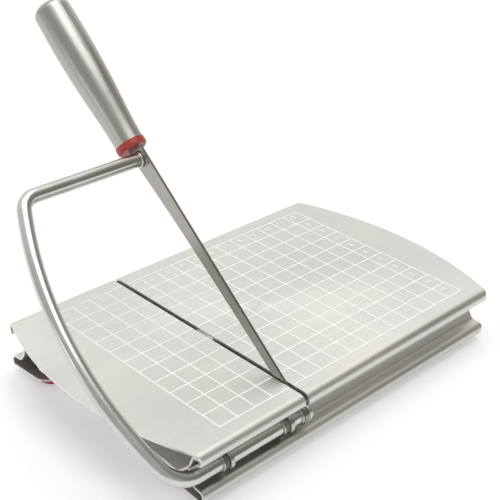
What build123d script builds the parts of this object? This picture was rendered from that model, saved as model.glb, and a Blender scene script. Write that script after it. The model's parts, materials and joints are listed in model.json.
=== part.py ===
"""Tabletop cheese slicer: a steel board with a hinged bow that carries a flat blade and a handle.

Frame: millimetres, +X along the board, +Y from the hinge side to the far side, +Z up.
The origin is on the table under the centre of the whole slicer with the bow half raised.
"""

import os
from math import cos, radians, sin, sqrt

from build123d import *

# ---------------------------------------------------------------- driving dimensions
# Board datum: the blade slot's left edge, the front line of the printed grid, the top surface.
SLOT_X = -30.46
GRID_Y = -76.73
TOP_Z = 27.0

OVER = 2.0                  # how far cutting solids run past the material
BELOW = -30.0               # a level under the whole board

SHEET = 1.0
BOARD_LEFT = -70.8          # from the slot, at the middle of the bowed end
BOARD_RIGHT = 142.0
BOARD_DEPTH = 110.0         # between the front and back grid lines
NOSE_OUT = 10.6             # how far the formed edges stand out past the grid lines
END_ARC_RADIUS = 165.0
BOARD_CORNER = 4.0
WAIST_LEFT = -56.3          # ends of the board's under side, at the lips
WAIST_HOLLOW = 3.0          # how far those ends curve inwards by the middle
RAIL_LEFT = -57.6           # ends of the lip rails
RAIL_HOLLOW = 2.0
SLOT_WIDTH = 2.2
SLOT_DEPTH = 14.2

# Front half of the board section, as corners of the sheet's middle line and bend radii: the nose, its
# flat return, the channel's wall and floor, and the web that rises to the underside of the top.
BOARD_MID = [(-9.2, -0.5), (-9.0, -4.8), (-1.4, -6.0), (0.9, -12.3), (8.0, -19.3), (38.0, -19.3)]
BOARD_BENDS = [3.0, 0.9, 2.4, 2.0, 3.0, 8.0]
WEB_END = (50.0, -1.45)
NOSE_INNER = -7.0           # the formed nose follows the board's plan out from here
NOSE_UNDER = -6.2

# Lip rail that is welded under each formed edge, with the flange that carries the feet.
FLANGE_MID = -23.4
FLANGE_EDGE = 13.5
FLANGE_CORNER = 7.0
RAIL_MID = [(-0.6, -11.0), (-0.9, -14.2), (-3.4, -18.3), (-10.1, -18.7), (-9.2, FLANGE_MID),
            (FLANGE_EDGE, FLANGE_MID)]
RAIL_BENDS = [4.0, 3.0, 2.5, 1.4]

# Hinge line, relative to the board datum.
HINGE_Y = -7.0
HINGE_Z = -10.0
ROD = 6.4
BUSH_BORE = ROD / 2 + 0.05
BUSH_OUT = 3.6
BUSH_FLANGE = 3.95
BUSH_FLANGE_LENGTH = 0.6
BUSH_LENGTH = 3.6
STRAP_THICK = 0.8
STRAP_WIDTH = 1.9
STRAP_RIGHT_FACES = {"left": -42.0, "right": -8.0}
STRAP_TOP_TAB = (3.0, 4.45) # tab ends of the strap's middle line, from the hinge line
STRAP_TOP_TURN = 2.0
STRAP_LOW_TAB = (2.2, -7.9)
STRAP_LOW_TURN = 0.6
STRAP_TURN = 1.0

# Bow: its plane holds the hinge line and rises by this angle at rest.
BOW_ANGLE = 37.6
BOW_REACH = 131.5           # hinge line to the top arm
BOW_CORNER_LOW = -67.9      # where the side arm would meet the hinge line
BOW_CORNER_TOP = -60.6      # where the side arm would meet the top arm
BOW_BULGE = -77.8
BOW_BULGE_AT = 52.0
BOW_BEND_LOW = 13.0
BOW_BEND_TOP = 9.0

HANDLE_TILT = 3.4           # handle axis against the bow's plane
HANDLE_START = 137.0        # along the bow, to the red collar
HANDLE_OFFSET = -0.8

BLADE_THICK = 1.2
BLADE_X = 0.5               # blade's left face, from the slot's left edge
BLADE_END = HANDLE_START - 0.4
BLADE_SPINE = [(0, 1.35), (BLADE_END, 5.65)]
BLADE_EDGE = [(0, -3.1), (45.0, -2.5), (90.0, -2.7), (BLADE_END, -4.7)]
BLADE_BEVEL = 0.4
EYE_RADIUS = 4.3
EYE_BOSS = 1.7              # how far the eye's boss stands left of the blade
HUB_WINDOW = 4.55           # clearance cut round the blade's eye
HUB_WINDOW_X = (-3.4, 5.6)
SPACER_RADIUS = 3.9
SPACER_LENGTH = 1.1
SPACER_EDGE = 0.2
CAP_RADIUS = 4.1
CAP_LENGTH = 2.0
CAP_EDGE = 0.6
RING_RADIUS = 3.95
RING_THICK = 0.7
RING_GAP = 0.25
RING_EDGE = 0.15
FERRULE_RADIUS = 3.75
FERRULE_LENGTH = 1.2
FERRULE_EDGE = 0.45

COLLAR_LENGTH = 3.3
COLLAR_RADIUS = 7.1
COLLAR_BEVEL = 0.9
HANDLE_LENGTH = 78.0
HANDLE_WALL = 1.0
HANDLE_OUTLINE = [(COLLAR_LENGTH, 6.75), (13.0, 6.95), (27.0, 7.8), (46.0, 8.7), (66.0, 8.75)]
END_RADIUS = 8.6
END_ROUND = 4.0
CORE_RADIUS = 5.3
CORE_END = 58.0
TANG_WIDTH = 6.0
TANG_END = 44.0
TANG_ROOT = 4.0             # how far the tang runs back into the blade
TANG_PIN_AT = 34.0
TANG_PIN_RADIUS = 1.25
TANG_PIN_SHORT = 0.5        # how far the pin's ends lie inside the core

FOOT_X = [-46.5, 117.7]
FOOT_Y = [6.0, 104.0]
FOOT_STEM = 3.4
FOOT_HEAD = 5.6
FOOT_HEAD_HEIGHT = 2.4
FOOT_HEAD_RIM = 0.7
FOOT_HEAD_TAPER = 1.8
FOOT_DISC = 7.4
FOOT_EDGE = 0.8

hinge = (SLOT_X, GRID_Y + HINGE_Y, TOP_Z + HINGE_Z)
bow_cos = cos(radians(BOW_ANGLE))
bow_sin = sin(radians(BOW_ANGLE))
arm_cos = cos(radians(BOW_ANGLE + HANDLE_TILT))
arm_sin = sin(radians(BOW_ANGLE + HANDLE_TILT))


# ---------------------------------------------------------------- working planes
def section_at(x):
    """Plane across the board at x from the slot: local x runs to the back, local y up."""
    return Plane(origin=(SLOT_X + x, GRID_Y, TOP_Z), x_dir=(0, 1, 0), z_dir=(1, 0, 0))


def hinge_section_at(x):
    """The same plane with its origin on the hinge line."""
    return Plane(origin=(hinge[0] + x, hinge[1], hinge[2]), x_dir=(0, 1, 0), z_dir=(1, 0, 0))


def level_at(z):
    """Level plane at height z from the board's top, with its origin at the board datum."""
    return Plane(origin=(SLOT_X, GRID_Y, TOP_Z + z))


def bow_section_at(x):
    """Plane across the hinge line at x: local x runs out along the bow, local y square to it."""
    return Plane(origin=(hinge[0] + x, hinge[1], hinge[2]), x_dir=(0, bow_cos, bow_sin), z_dir=(1, 0, 0))


bow_plane = Plane(origin=hinge, x_dir=(1, 0, 0), z_dir=(0, -bow_sin, bow_cos))
handle_origin = bow_section_at(BLADE_X + BLADE_THICK / 2).from_local_coords(
    Vector(HANDLE_START, HANDLE_OFFSET, 0))
handle_section = Plane(origin=handle_origin, x_dir=(0, arm_cos, arm_sin), z_dir=(1, 0, 0))
handle_axis = Axis(handle_origin, (0, arm_cos, arm_sin))


def write(piece, name):
    """Labels a finished piece and writes it as its own STEP file."""
    piece.part.label = name
    export_step(piece.part, f"parts/{name}.step")


def mirrored(corners):
    """The same corners on the board's back half, in the opposite order."""
    return [(BOARD_DEPTH - y, z) for y, z in reversed(corners)]


def beside(corners, bends, distance):
    """Corners and bend radii of the line that runs beside a bent line, at a distance to its left."""
    points = [Vector(*corner) for corner in corners]
    normals = [(end - start).normalized().rotate(Axis.Z, 90) for start, end in zip(points, points[1:])]
    moved = [points[0] + normals[0] * distance]
    radii = []
    for point, before, after, bend in zip(points[1:], normals, normals[1:], bends):
        moved.append(point + (before + after) * (distance / (1 + before.dot(after))))
        radii.append(bend - distance if before.cross(after).Z > 0 else bend + distance)
    moved.append(points[-1] + normals[-1] * distance)
    return moved, radii


def sheet_strip(corners, bends, thickness):
    """Face of a bent sheet from the corners of its middle line."""
    left, left_radii = beside(corners, bends, thickness / 2)
    right, right_radii = beside(corners, bends, -thickness / 2)
    with BuildSketch(mode=Mode.PRIVATE) as strip:
        with BuildLine():
            FilletPolyline(*left, radius=left_radii)
            Line(left[-1], right[-1])
            FilletPolyline(*right, radius=right_radii)
            Line(right[0], left[0])
        make_face()
    return strip.sketch


os.makedirs("parts", exist_ok=True)

# ---------------------------------------------------------------- board
half_depth = BOARD_DEPTH / 2 + NOSE_OUT
middle_y = BOARD_DEPTH / 2
end_bow = END_ARC_RADIUS - sqrt(END_ARC_RADIUS**2 - half_depth**2)
board_span = BOARD_RIGHT - BOARD_LEFT

with BuildPart() as board_plan:
    with BuildSketch(level_at(BELOW)) as plan:
        with BuildLine():
            front = -NOSE_OUT
            back = BOARD_DEPTH + NOSE_OUT
            left = BOARD_LEFT + end_bow
            right = BOARD_RIGHT - end_bow
            ThreePointArc((left, front), (BOARD_LEFT, middle_y), (left, back))
            Line((left, back), (right, back))
            ThreePointArc((right, back), (BOARD_RIGHT, middle_y), (right, front))
            Line((right, front), (left, front))
        make_face()
        fillet(plan.vertices(), radius=BOARD_CORNER)
    extrude(amount=OVER - BELOW)


def waist(left_end, hollow):
    """Solid that trims the lower sheets: both its ends curve inwards by the hollow."""
    right_end = BOARD_LEFT + BOARD_RIGHT - left_end
    front = -NOSE_OUT - OVER
    back = BOARD_DEPTH + NOSE_OUT + OVER
    with BuildPart() as block:
        with BuildSketch(level_at(BELOW)):
            with BuildLine():
                ThreePointArc((left_end, front), (left_end + hollow, middle_y), (left_end, back))
                Line((left_end, back), (right_end, back))
                ThreePointArc((right_end, back), (right_end - hollow, middle_y), (right_end, front))
                Line((right_end, front), (left_end, front))
            make_face()
        extrude(amount=-BELOW)
    return block.part


with BuildPart() as shell_bounds:
    add(waist(WAIST_LEFT, WAIST_HOLLOW))
    with BuildSketch(level_at(-1.5 * SHEET)):
        with Locations((BOARD_LEFT + board_span / 2, middle_y)):
            Rectangle(board_span + 2 * OVER, 4 * half_depth)
    extrude(amount=2 * OVER)
    for y in (NOSE_INNER - NOSE_OUT, BOARD_DEPTH - NOSE_INNER + NOSE_OUT):
        with BuildSketch(level_at(NOSE_UNDER)):
            with Locations((BOARD_LEFT + board_span / 2, y)):
                Rectangle(board_span + 2 * OVER, 2 * NOSE_OUT)
        extrude(amount=-NOSE_UNDER)
    add(board_plan.part, mode=Mode.INTERSECT)

with BuildPart() as blade_slot:
    with BuildSketch(level_at(OVER)):
        with Locations((SLOT_WIDTH / 2, middle_y)):
            Rectangle(SLOT_WIDTH, 2 * (half_depth + OVER))
    extrude(amount=-SLOT_DEPTH - OVER)

with BuildPart() as hub_window:
    with BuildSketch(hinge_section_at(HUB_WINDOW_X[0])):
        Circle(HUB_WINDOW)
    extrude(amount=HUB_WINDOW_X[1] - HUB_WINDOW_X[0])

with BuildPart() as board_shell:
    with BuildSketch(section_at(BOARD_LEFT - OVER)):
        front_half = BOARD_MID + [WEB_END]
        add(sheet_strip(mirrored(front_half) + front_half, BOARD_BENDS[::-1] + BOARD_BENDS, SHEET))
    extrude(amount=board_span + 2 * OVER)
    add(shell_bounds.part, mode=Mode.INTERSECT)
    add(blade_slot.part, mode=Mode.SUBTRACT)
    add(hub_window.part, mode=Mode.SUBTRACT)
write(board_shell, "board_shell")

with BuildPart() as foot_holes:
    flange_level = level_at(FLANGE_MID)
    with Locations([flange_level.from_local_coords(Vector(x, y, 0)) for x in FOOT_X for y in FOOT_Y]):
        Cylinder(FOOT_STEM, 2 * OVER)


def lip_rail(corners, bends):
    """Lip rail under one formed edge, with the flange's two free corners rounded."""
    with BuildPart() as rail:
        with BuildSketch(section_at(BOARD_LEFT - OVER)):
            add(sheet_strip(corners, bends, SHEET))
        extrude(amount=board_span + 2 * OVER)
        add(waist(RAIL_LEFT, RAIL_HOLLOW), mode=Mode.INTERSECT)
        add(board_plan.part, mode=Mode.INTERSECT)
        upright = rail.edges().filter_by(Axis.Z)
        low = upright.filter_by(lambda edge: edge.center().Z < TOP_Z + FLANGE_MID + SHEET)
        inner = low.sort_by(lambda edge: abs(edge.center().Y - GRID_Y - middle_y))[0:2]
        fillet(inner, radius=FLANGE_CORNER)
        add(foot_holes.part, mode=Mode.SUBTRACT)
        add(blade_slot.part, mode=Mode.SUBTRACT)
    return rail.part


with BuildPart() as front_lip_rail:
    add(lip_rail(RAIL_MID, RAIL_BENDS))
    add(hub_window.part, mode=Mode.SUBTRACT)
write(front_lip_rail, "front_lip_rail")

with BuildPart() as back_lip_rail:
    add(lip_rail(mirrored(RAIL_MID), RAIL_BENDS[::-1]))
write(back_lip_rail, "back_lip_rail")

# ---------------------------------------------------------------- feet
flange_under = FLANGE_MID - SHEET / 2
foot_height = TOP_Z + flange_under
foot_head_top = SHEET + FOOT_HEAD_HEIGHT
foot_outline = [(0, foot_head_top), (FOOT_HEAD - FOOT_HEAD_TAPER, foot_head_top),
                (FOOT_HEAD, SHEET + FOOT_HEAD_RIM), (FOOT_HEAD, SHEET), (FOOT_STEM, SHEET),
                (FOOT_STEM, 0), (FOOT_DISC, 0), (FOOT_DISC, -foot_height), (0, -foot_height)]
for across, x in zip(("left", "right"), FOOT_X):
    for along, y in zip(("front", "back"), FOOT_Y):
        foot_centre = level_at(flange_under).from_local_coords(Vector(x, y, 0))
        with BuildPart() as foot:
            with BuildSketch(Plane(origin=foot_centre, x_dir=(1, 0, 0), z_dir=(0, -1, 0))):
                with BuildLine():
                    Polyline(*foot_outline, close=True)
                make_face()
            revolve(axis=Axis(foot_centre, (0, 0, 1)))
            fillet(foot.edges().group_by(Axis.Z)[0], radius=FOOT_EDGE)
        write(foot, f"foot_{along}_{across}")

# ---------------------------------------------------------------- hinge straps and bushes
strap_mid = BUSH_OUT + STRAP_THICK / 2
strap_round = strap_mid - 0.01
strap_line = [STRAP_TOP_TAB, (STRAP_TOP_TURN, strap_mid), (-strap_mid, strap_mid),
              (-strap_mid, -strap_mid), (STRAP_LOW_TURN, -strap_mid), STRAP_LOW_TAB]
strap_bends = [STRAP_TURN, strap_round, strap_round, STRAP_TURN]

for side, right_face in STRAP_RIGHT_FACES.items():
    with BuildPart() as strap:
        with BuildSketch(hinge_section_at(right_face - STRAP_WIDTH)):
            add(sheet_strip(strap_line, strap_bends, STRAP_THICK))
        extrude(amount=STRAP_WIDTH)
        add(board_shell.part, mode=Mode.SUBTRACT)
        add(front_lip_rail.part, mode=Mode.SUBTRACT)
    write(strap, f"hinge_strap_{side}")

    with BuildPart() as bush:
        with BuildSketch(hinge_section_at(right_face)):
            Circle(BUSH_OUT)
        extrude(amount=-BUSH_LENGTH)
        with BuildSketch(hinge_section_at(right_face - BUSH_LENGTH)):
            Circle(BUSH_FLANGE)
        extrude(amount=-BUSH_FLANGE_LENGTH)
        with BuildSketch(hinge_section_at(right_face + OVER)):
            Circle(BUSH_BORE)
        extrude(amount=-BUSH_LENGTH - 2 * OVER, mode=Mode.SUBTRACT)
    write(bush, f"hinge_bush_{side}")

# ---------------------------------------------------------------- bow
blade_right = BLADE_X + BLADE_THICK
rod_end = blade_right + CAP_LENGTH
with BuildPart() as bow_rod:
    with BuildLine(bow_plane) as bow_path:
        Line((rod_end, 0), (BOW_CORNER_LOW, 0))
        ThreePointArc((BOW_CORNER_LOW, 0), (BOW_BULGE, BOW_BULGE_AT), (BOW_CORNER_TOP, BOW_REACH))
        Line((BOW_CORNER_TOP, BOW_REACH), (BLADE_X, BOW_REACH))
        near, *_, far = bow_path.vertices().sort_by(Axis.Y).filter_by_position(
            Axis.X, hinge[0] + BOW_CORNER_LOW - 1, hinge[0] + BOW_CORNER_TOP + 1)
        fillet(near, radius=BOW_BEND_LOW)
        fillet(far, radius=BOW_BEND_TOP)
    with BuildSketch(hinge_section_at(rod_end)):
        Circle(ROD / 2)
    sweep()
write(bow_rod, "bow_rod")


def turned_on_rod(start, length, radius, edge):
    """Ring on the pivot rod from start, measured from the slot, with both rims rounded."""
    with BuildPart() as ring:
        with BuildSketch(hinge_section_at(start)):
            Circle(radius)
            Circle(ROD / 2, mode=Mode.SUBTRACT)
        extrude(amount=length)
        fillet(ring.edges().filter_by(GeomType.CIRCLE).group_by(SortBy.RADIUS)[-1], radius=edge)
    return ring.part


with BuildPart() as retaining_rings:
    for right_face in STRAP_RIGHT_FACES.values():
        flange_end = right_face - BUSH_LENGTH - BUSH_FLANGE_LENGTH
        add(turned_on_rod(flange_end - RING_GAP - RING_THICK, RING_THICK, RING_RADIUS, RING_EDGE))
    add(turned_on_rod(STRAP_RIGHT_FACES["right"] + RING_GAP, RING_THICK, RING_RADIUS, RING_EDGE))
write(retaining_rings, "retaining_rings")

# ---------------------------------------------------------------- blade and its fittings
with BuildPart() as blade:
    with BuildSketch(bow_section_at(BLADE_X)):
        with BuildLine():
            spine = Line(*BLADE_SPINE)
            edge = Spline(*BLADE_EDGE)
            Line(spine @ 1, edge @ 1)
            Line(spine @ 0, edge @ 0)
        make_face()
    extrude(amount=BLADE_THICK)
    chamfer(blade.edges().filter_by(GeomType.BSPLINE), length=BLADE_BEVEL)
    with BuildSketch(hinge_section_at(-EYE_BOSS + BLADE_X)):
        Circle(EYE_RADIUS)
    extrude(amount=EYE_BOSS + BLADE_THICK)
    with BuildSketch(handle_section.offset(-BLADE_THICK / 2)):
        with Locations(((TANG_END - TANG_ROOT) / 2, 0)):
            Rectangle(TANG_END + TANG_ROOT, TANG_WIDTH)
    extrude(amount=BLADE_THICK)
    with BuildSketch(hinge_section_at(-EYE_BOSS + BLADE_X)):
        Circle(ROD / 2)
    extrude(amount=EYE_BOSS + BLADE_THICK, mode=Mode.SUBTRACT)
    with BuildSketch(handle_section.offset(-BLADE_THICK)):
        with Locations((TANG_PIN_AT, 0)):
            Circle(TANG_PIN_RADIUS)
    extrude(amount=2 * BLADE_THICK, mode=Mode.SUBTRACT)
write(blade, "blade")

boss_left = BLADE_X - EYE_BOSS
with BuildPart() as blade_spacer:
    add(turned_on_rod(boss_left - SPACER_LENGTH, SPACER_LENGTH, SPACER_RADIUS, SPACER_EDGE))
write(blade_spacer, "blade_spacer")

with BuildPart() as rod_end_cap:
    add(turned_on_rod(blade_right, CAP_LENGTH, CAP_RADIUS, CAP_EDGE))
write(rod_end_cap, "rod_end_cap")

with BuildPart() as arm_ferrule:
    ferrule_start = bow_plane.from_local_coords(Vector(BLADE_X - FERRULE_LENGTH, BOW_REACH, 0))
    with BuildSketch(Plane(origin=ferrule_start, x_dir=(0, 1, 0), z_dir=(1, 0, 0))):
        Circle(FERRULE_RADIUS)
        Circle(ROD / 2, mode=Mode.SUBTRACT)
    extrude(amount=FERRULE_LENGTH)
    rims = arm_ferrule.edges().filter_by(GeomType.CIRCLE).group_by(SortBy.RADIUS)[-1]
    fillet(rims, radius=FERRULE_EDGE)
write(arm_ferrule, "arm_ferrule")

# ---------------------------------------------------------------- handle
def handle_outline(inset):
    """Draws the handle's outline in by an inset and gives its neck point and its tip."""
    tip = (HANDLE_LENGTH - inset, 0)
    rim = (HANDLE_LENGTH - inset, END_RADIUS - END_ROUND)
    side = Spline(*[(s, r - inset) for s, r in HANDLE_OUTLINE])
    shoulder = Line(side @ 1, (HANDLE_LENGTH - END_ROUND, END_RADIUS - inset))
    TangentArc(shoulder @ 1, rim, tangent=shoulder % 1)
    Line(rim, tip)
    return side @ 0, tip


with BuildPart() as handle_shell:
    with BuildSketch(handle_section):
        with BuildLine():
            outer_neck, outer_tip = handle_outline(0)
            inner_neck, inner_tip = handle_outline(HANDLE_WALL)
            Line(outer_neck, inner_neck)
            Line(outer_tip, inner_tip)
        make_face()
    revolve(axis=handle_axis)
write(handle_shell, "handle_shell")

with BuildPart() as handle_core:
    core_start = handle_section.from_local_coords(Vector(COLLAR_LENGTH, 0, 0))
    with BuildSketch(Plane(origin=core_start, x_dir=(1, 0, 0), z_dir=handle_axis.direction)):
        Circle(CORE_RADIUS)
    extrude(amount=CORE_END - COLLAR_LENGTH)
    with BuildSketch(handle_section.offset(-CORE_RADIUS)):
        with Locations((TANG_PIN_AT, 0)):
            Circle(TANG_PIN_RADIUS)
    extrude(amount=2 * CORE_RADIUS, mode=Mode.SUBTRACT)
    add(blade.part, mode=Mode.SUBTRACT)
write(handle_core, "handle_core")

with BuildPart() as tang_pin:
    with BuildSketch(handle_section.offset(TANG_PIN_SHORT - CORE_RADIUS)):
        with Locations((TANG_PIN_AT, 0)):
            Circle(TANG_PIN_RADIUS)
    extrude(amount=2 * (CORE_RADIUS - TANG_PIN_SHORT))
write(tang_pin, "tang_pin")

with BuildPart() as handle_collar:
    with BuildSketch(handle_section):
        with BuildLine():
            Polyline((0, 0), (0, COLLAR_RADIUS - COLLAR_BEVEL), (COLLAR_BEVEL, COLLAR_RADIUS),
                     (COLLAR_LENGTH, COLLAR_RADIUS), (COLLAR_LENGTH, 0), close=True)
        make_face()
    revolve(axis=handle_axis)
    add(blade.part, mode=Mode.SUBTRACT)
write(handle_collar, "handle_collar")
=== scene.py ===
"""Looks for the tabletop cheese slicer: print, materials, studio and camera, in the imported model's frame."""
import json
from math import cos, radians, sin

import bmesh
import bpy
from mathutils import Matrix, Vector


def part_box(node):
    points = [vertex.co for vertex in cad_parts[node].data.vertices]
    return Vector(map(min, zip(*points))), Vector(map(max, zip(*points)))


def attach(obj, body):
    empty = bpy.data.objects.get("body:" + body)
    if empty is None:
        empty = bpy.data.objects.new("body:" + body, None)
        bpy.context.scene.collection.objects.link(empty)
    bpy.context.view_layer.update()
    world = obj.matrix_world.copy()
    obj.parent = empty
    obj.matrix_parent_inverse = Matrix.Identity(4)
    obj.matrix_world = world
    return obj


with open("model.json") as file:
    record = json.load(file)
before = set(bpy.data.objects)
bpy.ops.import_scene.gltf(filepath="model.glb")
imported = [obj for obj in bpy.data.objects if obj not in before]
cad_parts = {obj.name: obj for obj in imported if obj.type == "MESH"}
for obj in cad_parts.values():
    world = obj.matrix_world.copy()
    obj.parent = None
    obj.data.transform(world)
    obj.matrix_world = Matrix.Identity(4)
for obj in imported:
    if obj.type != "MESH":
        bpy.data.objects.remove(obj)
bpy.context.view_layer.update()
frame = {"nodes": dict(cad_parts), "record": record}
nodes = frame["nodes"]

MM = 0.001
BOW_ANGLE = 37.6
HANDLE_TILT = 3.4

# ---------------------------------------------------------------- places taken from the CAD nodes
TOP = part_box("board_shell")[1].z
HINGE_BEFORE_GRID = 7.0 * MM       # from the hinge line to the printed grid's front line
hinge = Vector(frame["record"]["behaviour"]["joints"][0]["pos_m"])
SLOT_LEFT = hinge.x                # left edge of the blade slot
GRID_FRONT = hinge.y + HINGE_BEFORE_GRID


# ---------------------------------------------------------------- material kit
BLACK = (0, 0, 0)
WHITE = (1, 1, 1)
COOL_STAIN = (0.93, 0.93, 0.94)
WARM_STAIN = (1.0, 0.99, 0.965)
SCUFF_SHARE = (0.16, 0.16, 0.16)
CUT_EDGE = (0.78, 0.775, 0.75)
# Painted light: a lighter colour for the inner faces under the top, which lie in shade.
INNER_FACE_PAINTED_LIGHT = (0.80, 0.795, 0.78)
INNER_METALLIC = 0.15              # painted light: the inner faces, shaded under the top, are made matt and lighter so they look lit
INNER_FROM = 2 * MM                # below the top, where the inner faces begin
INNER_FULL = 3 * MM
HONED_EDGE = (0.30, 0.295, 0.275)

# Scratch patterns, in cycles per metre across and along the grain.
FINE_ACROSS = 2600.0
FINE_ALONG = 22.0
WIDE_ACROSS = 850.0
WIDE_ALONG = 9.0
FINE_SHARE = 0.55
SCRATCH_DEPTH = 0.04 * MM
PEBBLE_DEPTH = 0.05 * MM
DRAWN_DEPTH = 0.03 * MM
INK_DEPTH = 0.03 * MM


def set_range(node, from_lo, from_hi, to_lo, to_hi):
    """Sets a Map Range node's four limits."""
    for key, value in (("From Min", from_lo), ("From Max", from_hi), ("To Min", to_lo), ("To Max", to_hi)):
        node.inputs[key].default_value = value


class Finish:
    """A procedural material: a Principled shader with helpers that add grain, stains and relief to it."""

    def __init__(self, name, metallic, roughness, **sockets):
        self.material = bpy.data.materials.new(name)
        self.material.use_nodes = True
        self.tree = self.material.node_tree
        self.shader = self.tree.nodes["Principled BSDF"]
        self.shader.inputs["Metallic"].default_value = metallic
        self.shader.inputs["Roughness"].default_value = roughness
        for key, value in sockets.items():
            self.shader.inputs[key.replace("_", " ")].default_value = value
        self.coord = self.add("ShaderNodeTexCoord").outputs["Object"]

    def add(self, kind, **settings):
        node = self.tree.nodes.new(kind)
        for key, value in settings.items():
            setattr(node, key, value)
        return node

    def link(self, output, socket):
        self.tree.links.new(output, socket)

    def noise(self, scale, detail=3.0, turn=(0, 0, 0), rough=0.5, seed=0.0):
        """Noise in object space, stretched by a scale for each axis, in cycles per metre."""
        turned = self.add("ShaderNodeMapping")
        turned.inputs["Rotation"].default_value = turn
        self.link(self.coord, turned.inputs["Vector"])
        mapping = self.add("ShaderNodeMapping")
        mapping.inputs["Scale"].default_value = scale
        mapping.inputs["Location"].default_value = (seed, seed * 0.7, seed * 1.3)
        self.link(turned.outputs["Vector"], mapping.inputs["Vector"])
        texture = self.add("ShaderNodeTexNoise")
        texture.inputs["Scale"].default_value = 1.0
        texture.inputs["Detail"].default_value = detail
        texture.inputs["Roughness"].default_value = rough
        self.link(mapping.outputs["Vector"], texture.inputs["Vector"])
        return texture.outputs["Fac"]

    def ramp(self, value, *stops):
        """Colour or grey ramp over a value, from two (position, colour) stops."""
        node = self.add("ShaderNodeValToRGB")
        for element, (place, colour) in zip(node.color_ramp.elements, stops):
            element.position = place
            element.color = (*colour, 1)
        self.link(value, node.inputs["Fac"])
        return node.outputs["Color"]

    def remap(self, value, from_lo, from_hi, to_lo, to_hi):
        """A value moved from one range to another, and kept inside it."""
        node = self.add("ShaderNodeMapRange")
        set_range(node, from_lo, from_hi, to_lo, to_hi)
        self.link(value, node.inputs["Value"])
        return node.outputs["Result"]

    def math(self, operation, one, two=None):
        """Arithmetic on one or two values; each may be a socket or a number."""
        node = self.add("ShaderNodeMath", operation=operation)
        for socket, value in zip(node.inputs, (one, two)):
            if value is None:
                continue
            if isinstance(value, (int, float)):
                socket.default_value = value
            else:
                self.link(value, socket)
        return node.outputs["Value"]

    def mix(self, factor, one, two, blend="MIX"):
        """Mix of two colours; each may be a socket or an RGB triple."""
        node = self.add("ShaderNodeMix", data_type="RGBA", blend_type=blend)
        colours = [s for s in node.inputs if s.type == "RGBA"]
        values = [s for s in node.inputs if s.name == "Factor" and s.type == "VALUE"]
        for socket, value in zip((values[0], colours[0], colours[1]), (factor, one, two)):
            if isinstance(value, (int, float)):
                socket.default_value = value
            elif isinstance(value, tuple):
                socket.default_value = (*value, 1)
            else:
                self.link(value, socket)
        return [s for s in node.outputs if s.type == "RGBA"][0]

    def axis(self, index):
        """One object-space coordinate, in metres."""
        split = self.add("ShaderNodeSeparateXYZ")
        self.link(self.coord, split.inputs[0])
        return split.outputs[index]

    def facing(self, index):
        """How far a surface faces along one object axis, without sign."""
        geometry = self.add("ShaderNodeNewGeometry")
        split = self.add("ShaderNodeSeparateXYZ")
        self.link(geometry.outputs["True Normal"], split.inputs[0])
        return self.math("ABSOLUTE", split.outputs[index])

    def colour(self, output):
        self.link(output, self.shader.inputs["Base Color"])

    def roughness(self, output):
        self.link(output, self.shader.inputs["Roughness"])

    def bump(self, height, strength, distance):
        node = self.add("ShaderNodeBump")
        node.inputs["Strength"].default_value = strength
        node.inputs["Distance"].default_value = distance
        self.link(height, node.inputs["Height"])
        self.link(node.outputs["Normal"], self.shader.inputs["Normal"])


def brushed(name, colour, dark, roughness, along, turn=(0, 0, 0), grain=1.0, **sockets):
    """Brushed steel: long fine scratches along one axis, faint cloudy stains, and rubbed patches."""
    finish = Finish(name, 1.0, roughness, **sockets)
    fine = [FINE_ALONG if axis == along else FINE_ACROSS for axis in range(3)]
    wide = [WIDE_ALONG if axis == along else WIDE_ACROSS for axis in range(3)]
    scratches = finish.noise(fine, detail=4.0, turn=turn, rough=0.6)
    strokes = finish.noise(wide, detail=2.0, turn=turn, seed=3.7)
    clouds = finish.noise((19.0, 23.0, 21.0), detail=3.0, seed=8.1)
    both = finish.math("ADD", finish.math("MULTIPLY", scratches, FINE_SHARE),
                       finish.math("MULTIPLY", strokes, 1 - FINE_SHARE))
    tone = finish.ramp(both, (0.32, dark), (0.68, colour))
    stain = finish.ramp(clouds, (0.3, COOL_STAIN), (0.7, WARM_STAIN))
    finish.base = finish.mix(1.0, tone, stain, "MULTIPLY")
    finish.colour(finish.base)
    spread = finish.remap(both, 0.25, 0.75, roughness - 0.07, roughness + 0.09)
    rubbed = finish.remap(clouds, 0.25, 0.75, -0.03, 0.03)
    finish.roughness(finish.math("ADD", spread, rubbed))
    finish.bump(both, 0.35 * grain, SCRATCH_DEPTH)
    return finish


def moulded(name, colour, deep, roughness, grain=2400.0):
    """Moulded plastic or rubber: fine even pebble, faint flow marks, and lighter scuffs in scattered patches.
    """
    finish = Finish(name, 0.0, roughness)
    pebble = finish.noise((grain, grain, grain), detail=2.0)
    flow = finish.noise((90.0, 140.0, 110.0), detail=3.0, seed=5.0)
    base = finish.ramp(flow, (0.3, deep), (0.7, colour))
    scuffs = finish.noise((420.0, 380.0, 900.0), detail=5.0, rough=0.7, seed=2.2)
    scuffed = finish.ramp(scuffs, (0.62, BLACK), (0.78, SCUFF_SHARE))
    lighter = tuple(min(1.0, c * 1.5 + 0.06) for c in colour)
    finish.colour(finish.mix(scuffed, base, lighter))
    finish.roughness(finish.remap(flow, 0.2, 0.8, roughness - 0.06, roughness + 0.08))
    finish.bump(pebble, 0.25, PEBBLE_DEPTH)
    return finish


# ---------------------------------------------------------------- finishes
bow_turn = (radians(-BOW_ANGLE), 0, 0)
arm_turn = (radians(-BOW_ANGLE - HANDLE_TILT), 0, 0)


def bright_cut(finish, base):
    """Colours the sheet's sawn ends, which face along the board, brighter than its faces."""
    cut = finish.ramp(finish.facing(0), (0.80, BLACK), (0.97, WHITE))
    finish.colour(finish.mix(cut, base, CUT_EDGE))


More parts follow.
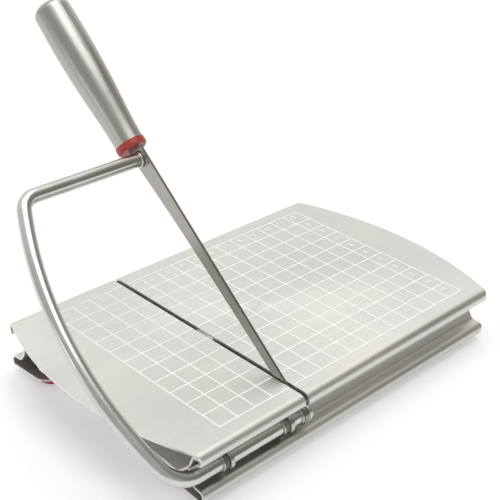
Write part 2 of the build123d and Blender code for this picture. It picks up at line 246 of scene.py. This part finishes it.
board = brushed("board_steel", (0.735, 0.73, 0.705), (0.675, 0.67, 0.645), 0.44, along=0, Anisotropic=0.3)
# Painted light: the shaded inner faces under the top get a lighter, matt copy of the steel so they look lit.
deep = board.remap(board.axis(2), TOP - INNER_FROM, TOP - INNER_FULL, 0.0, 1.0)
level_face = board.remap(board.facing(2), 0.45, 0.75, 0.0, 1.0)
inner_painted_light = board.math("MULTIPLY", deep, level_face)
board.link(board.remap(inner_painted_light, 0.0, 1.0, 1.0, INNER_METALLIC), board.shader.inputs["Metallic"])
bright_cut(board, board.mix(inner_painted_light, board.base, INNER_FACE_PAINTED_LIGHT))

rail = brushed("rail_steel", (0.70, 0.69, 0.66), (0.63, 0.62, 0.595), 0.44, along=0, Anisotropic=0.2)
bright_cut(rail, rail.base)

strap = brushed("strap_steel", (0.58, 0.57, 0.545), (0.46, 0.45, 0.43), 0.26, along=1)
blade = brushed("blade_steel", (0.44, 0.43, 0.40), (0.37, 0.36, 0.335), 0.27, along=1, turn=bow_turn,
                Anisotropic=0.3)
honed = blade.ramp(blade.facing(0), (0.55, WHITE), (0.98, BLACK))
blade.colour(blade.mix(honed, blade.base, HONED_EDGE))
handle = brushed("handle_steel", (0.49, 0.485, 0.46), (0.43, 0.425, 0.40), 0.33, along=1, turn=arm_turn,
                 grain=0.5, Anisotropic=0.4)

rod = Finish("polished_rod", 1.0, 0.24)
drawn = rod.noise((1500.0, 1500.0, 1500.0), detail=3.0, rough=0.6)
haze = rod.noise((45.0, 45.0, 45.0), detail=4.0, seed=4.4)
rod.colour(rod.ramp(haze, (0.3, (0.58, 0.57, 0.55)), (0.7, (0.66, 0.655, 0.635))))
rubbed = rod.remap(haze, 0.2, 0.8, 0.20, 0.28)
rod.roughness(rod.math("ADD", rubbed, rod.remap(drawn, 0.2, 0.8, -0.01, 0.01)))
rod.bump(drawn, 0.03, DRAWN_DEPTH)

red_plastic = moulded("red_plastic", (0.43, 0.040, 0.028), (0.37, 0.030, 0.022), 0.38)
red_rubber = moulded("red_rubber", (0.40, 0.032, 0.026), (0.33, 0.024, 0.020), 0.55, grain=1800.0)
bush_plastic = moulded("bush_plastic", (0.17, 0.16, 0.14), (0.11, 0.10, 0.09), 0.40)
core_plastic = moulded("core_plastic", (0.30, 0.030, 0.025), (0.24, 0.024, 0.020), 0.5)

ink = Finish("print_ink", 0.0, 0.5)
worn = ink.noise((700.0, 700.0, 700.0), detail=5.0, rough=0.7)
patches = ink.noise((60.0, 60.0, 60.0), detail=2.0, seed=1.9)
thin = ink.math("ADD", worn, ink.remap(patches, 0.3, 0.7, -0.06, 0.08))
ink.colour(ink.ramp(thin, (0.30, (0.80, 0.795, 0.77)), (0.42, (0.97, 0.965, 0.95))))
ink.roughness(ink.remap(worn, 0.2, 0.8, 0.42, 0.60))
ink.bump(worn, 0.2, INK_DEPTH)

FINISH_OF = {
    "board_shell": board,
    "front_lip_rail": rail,
    "back_lip_rail": rail,
    "hinge_strap_left": strap,
    "hinge_strap_right": strap,
    "hinge_bush_left": bush_plastic,
    "hinge_bush_right": bush_plastic,
    "bow_rod": rod,
    "retaining_rings": strap,
    "blade": blade,
    "blade_spacer": strap,
    "rod_end_cap": rod,
    "arm_ferrule": rod,
    "handle_shell": handle,
    "handle_core": core_plastic,
    "tang_pin": strap,
    "handle_collar": red_plastic,
}
for name, piece in nodes.items():
    finish = FINISH_OF.get(name, red_rubber)
    if not piece.material_slots:
        piece.data.materials.append(finish.material)
    for material_slot in piece.material_slots:
        material_slot.material = finish.material

# ---------------------------------------------------------------- printed centimetre grid and its numbers
CELL = 10 * MM
LINE = 0.62 * MM
PRINT_LIFT = 0.02 * MM
PRINT_THICK = 0.03 * MM
ROWS = 11
LEFT_COLUMNS = 4
RIGHT_COLUMNS = 12
SLOT_CLEAR = (-0.35 * MM, 2.55 * MM)
DIGIT_SIZE = 4.6 * MM
DIGIT_SWELL = 0.09 * MM
# Centres of the printed numbers inside their squares, as shares of a square.
RIGHT_COUNT_X = -0.62
LEFT_COUNT_X = 0.40
COUNT_Y = -0.42
ROW_COUNT_X = -0.56
ROW_COUNT_Y = 0.55

print_mesh = bmesh.new()


def patch(x0, x1, y0, y1):
    """One flat printed rectangle, measured from the slot and the grid's front line."""
    z = TOP + PRINT_LIFT
    corners = [(x0, y0), (x1, y0), (x1, y1), (x0, y1)]
    print_mesh.faces.new([print_mesh.verts.new((SLOT_LEFT + x, GRID_FRONT + y, z)) for x, y in corners])


def ruled(columns, slot_side):
    """Grid on one side of the slot: crossings, pieces of line between them, and the stubs to the slot."""
    half = LINE / 2
    for row in range(ROWS + 1):
        y = row * CELL
        near = slot_side
        for column in columns:
            x = column * CELL
            patch(x - half, x + half, y - half, y + half)
            inward = half if x > near else -half
            start = near if near == slot_side else near + inward
            patch(*sorted((start, x - inward)), y - half, y + half)
            near = x
            if row < ROWS:
                patch(x - half, x + half, y + half, y + CELL - half)


ruled(range(-1, -LEFT_COLUMNS - 1, -1), SLOT_CLEAR[0])
ruled(range(1, RIGHT_COLUMNS + 1), SLOT_CLEAR[1])


def number(text, x, y):
    """One printed number with its centre at (x, y)."""
    curve = bpy.data.curves.new("digits", "FONT")
    curve.body = text
    curve.size = DIGIT_SIZE
    curve.align_x = "CENTER"
    curve.align_y = "CENTER"
    curve.offset = DIGIT_SWELL
    writer = bpy.data.objects.new("digits", curve)
    flat = bpy.data.meshes.new_from_object(writer)
    flat.transform(Matrix.Translation((SLOT_LEFT + x, GRID_FRONT + y, TOP + PRINT_LIFT)))
    print_mesh.from_mesh(flat)
    bpy.data.meshes.remove(flat)
    bpy.data.objects.remove(writer)
    bpy.data.curves.remove(curve)


for count in range(1, RIGHT_COLUMNS + 1):
    number(str(count), (count + RIGHT_COUNT_X) * CELL, (ROWS + COUNT_Y) * CELL)
for count in range(1, LEFT_COLUMNS + 1):
    number(str(count), (LEFT_COUNT_X - count) * CELL, (ROWS + COUNT_Y) * CELL)
for row in range(ROWS - 1):
    number(str(ROWS - row), (RIGHT_COLUMNS + ROW_COUNT_X) * CELL, (row + ROW_COUNT_Y) * CELL)

printed = bpy.data.meshes.new("grid_print")
print_mesh.to_mesh(printed)
print_mesh.free()
grid_print = bpy.data.objects.new("grid_print", printed)
bpy.context.collection.objects.link(grid_print)
printed.materials.append(ink.material)
solid = grid_print.modifiers.new("thickness", "SOLIDIFY")
solid.thickness = PRINT_THICK
solid.offset = 1.0
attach(grid_print, "base")

# ---------------------------------------------------------------- studio
FLOOR_HALF = 9.0
FLOOR_GLOW = 0.34
FLOOR_COLOUR = (0.68, 0.68, 0.68, 1)
FAR_SIDE = Vector((0.63, 0.61, 0.48))
DARK_SIDE = Vector((0.70, -0.55, 0.45))
SKY_COLOUR = (1.0, 0.995, 0.985, 1)
DARK_SIDE_COLOUR = (0.34, 0.315, 0.285, 1)
SKY_NEAR = 0.50
SKY_FAR = 0.98
floor_mesh = bpy.data.meshes.new("floor")
floor_mesh.from_pydata([(-FLOOR_HALF, -FLOOR_HALF, 0), (FLOOR_HALF, -FLOOR_HALF, 0),
                        (FLOOR_HALF, FLOOR_HALF, 0), (-FLOOR_HALF, FLOOR_HALF, 0)], [], [(0, 1, 2, 3)])
floor = bpy.data.objects.new("floor", floor_mesh)
bpy.context.collection.objects.link(floor)
pale = Finish("floor_pale", 0.0, 0.95, Base_Color=FLOOR_COLOUR, Emission_Color=(1, 1, 1, 1),
              Emission_Strength=FLOOR_GLOW)
pale.shader.inputs["Specular IOR Level"].default_value = 0.0
floor_mesh.materials.append(pale.material)

sky = bpy.data.worlds.new("studio")
sky.use_nodes = True
bpy.context.scene.world = sky
tree = sky.node_tree
background = tree.nodes["Background"]
direction = tree.nodes.new("ShaderNodeTexCoord")


def lobe(axis, start, end, low, high):
    """Sky value that changes smoothly from low to high as a direction turns towards an axis."""
    towards = tree.nodes.new("ShaderNodeVectorMath")
    towards.operation = "DOT_PRODUCT"
    towards.inputs[1].default_value = axis.normalized()
    tree.links.new(direction.outputs["Generated"], towards.inputs[0])
    smooth = tree.nodes.new("ShaderNodeMapRange")
    smooth.interpolation_type = "SMOOTHSTEP"
    set_range(smooth, start, end, low, high)
    tree.links.new(towards.outputs["Value"], smooth.inputs["Value"])
    return smooth.outputs["Result"]


shade = tree.nodes.new("ShaderNodeMix")
shade.data_type = "RGBA"
tree.links.new(lobe(DARK_SIDE, 0.60, 0.93, 0.0, 1.0), shade.inputs[0])
shade.inputs[6].default_value = SKY_COLOUR
shade.inputs[7].default_value = DARK_SIDE_COLOUR
tree.links.new(shade.outputs[2], background.inputs["Color"])
tree.links.new(lobe(FAR_SIDE, -0.35, 0.80, SKY_NEAR, SKY_FAR), background.inputs["Strength"])


def softbox(name, place, aim, width, height, power):
    """Rectangular area light that faces a point."""
    data = bpy.data.lights.new(name, "AREA")
    data.shape = "RECTANGLE"
    data.size = width
    data.size_y = height
    data.energy = power
    lamp = bpy.data.objects.new(name, data)
    bpy.context.collection.objects.link(lamp)
    lamp.location = place
    lamp.rotation_euler = (Vector(aim) - Vector(place)).to_track_quat("-Z", "Y").to_euler()


softbox("left_panel", place=(-1.6, 0.25, 0.33), aim=(0, 0, 0.12), width=0.40, height=0.16, power=0.7)
softbox("overhead", place=(0.1, 0.0, 2.6), aim=(0, 0, 0), width=2.4, height=2.0, power=33.0)

# ---------------------------------------------------------------- camera
EYE = Vector((-0.31736, -0.33045, 0.30114))
TARGET = Vector((0.04054, 0.01901, 0.0270))
ROLL = 0.04123
LENS = 80.58
SENSOR = 36.0
CLIP_START = 0.01
forward = (TARGET - EYE).normalized()
level = forward.cross(Vector((0, 0, 1))).normalized()
upward = level.cross(forward)
right = level * cos(ROLL) + upward * sin(ROLL)
up = upward * cos(ROLL) - level * sin(ROLL)
camera_data = bpy.data.cameras.new("camera")
camera_data.lens = LENS
camera_data.sensor_width = SENSOR
camera_data.clip_start = CLIP_START
camera = bpy.data.objects.new("camera", camera_data)
bpy.context.collection.objects.link(camera)
camera.matrix_world = Matrix((
    (right.x, up.x, -forward.x, EYE.x),
    (right.y, up.y, -forward.y, EYE.y),
    (right.z, up.z, -forward.z, EYE.z),
    (0, 0, 0, 1)))
bpy.context.scene.camera = camera
bpy.context.scene.view_settings.view_transform = "Standard"
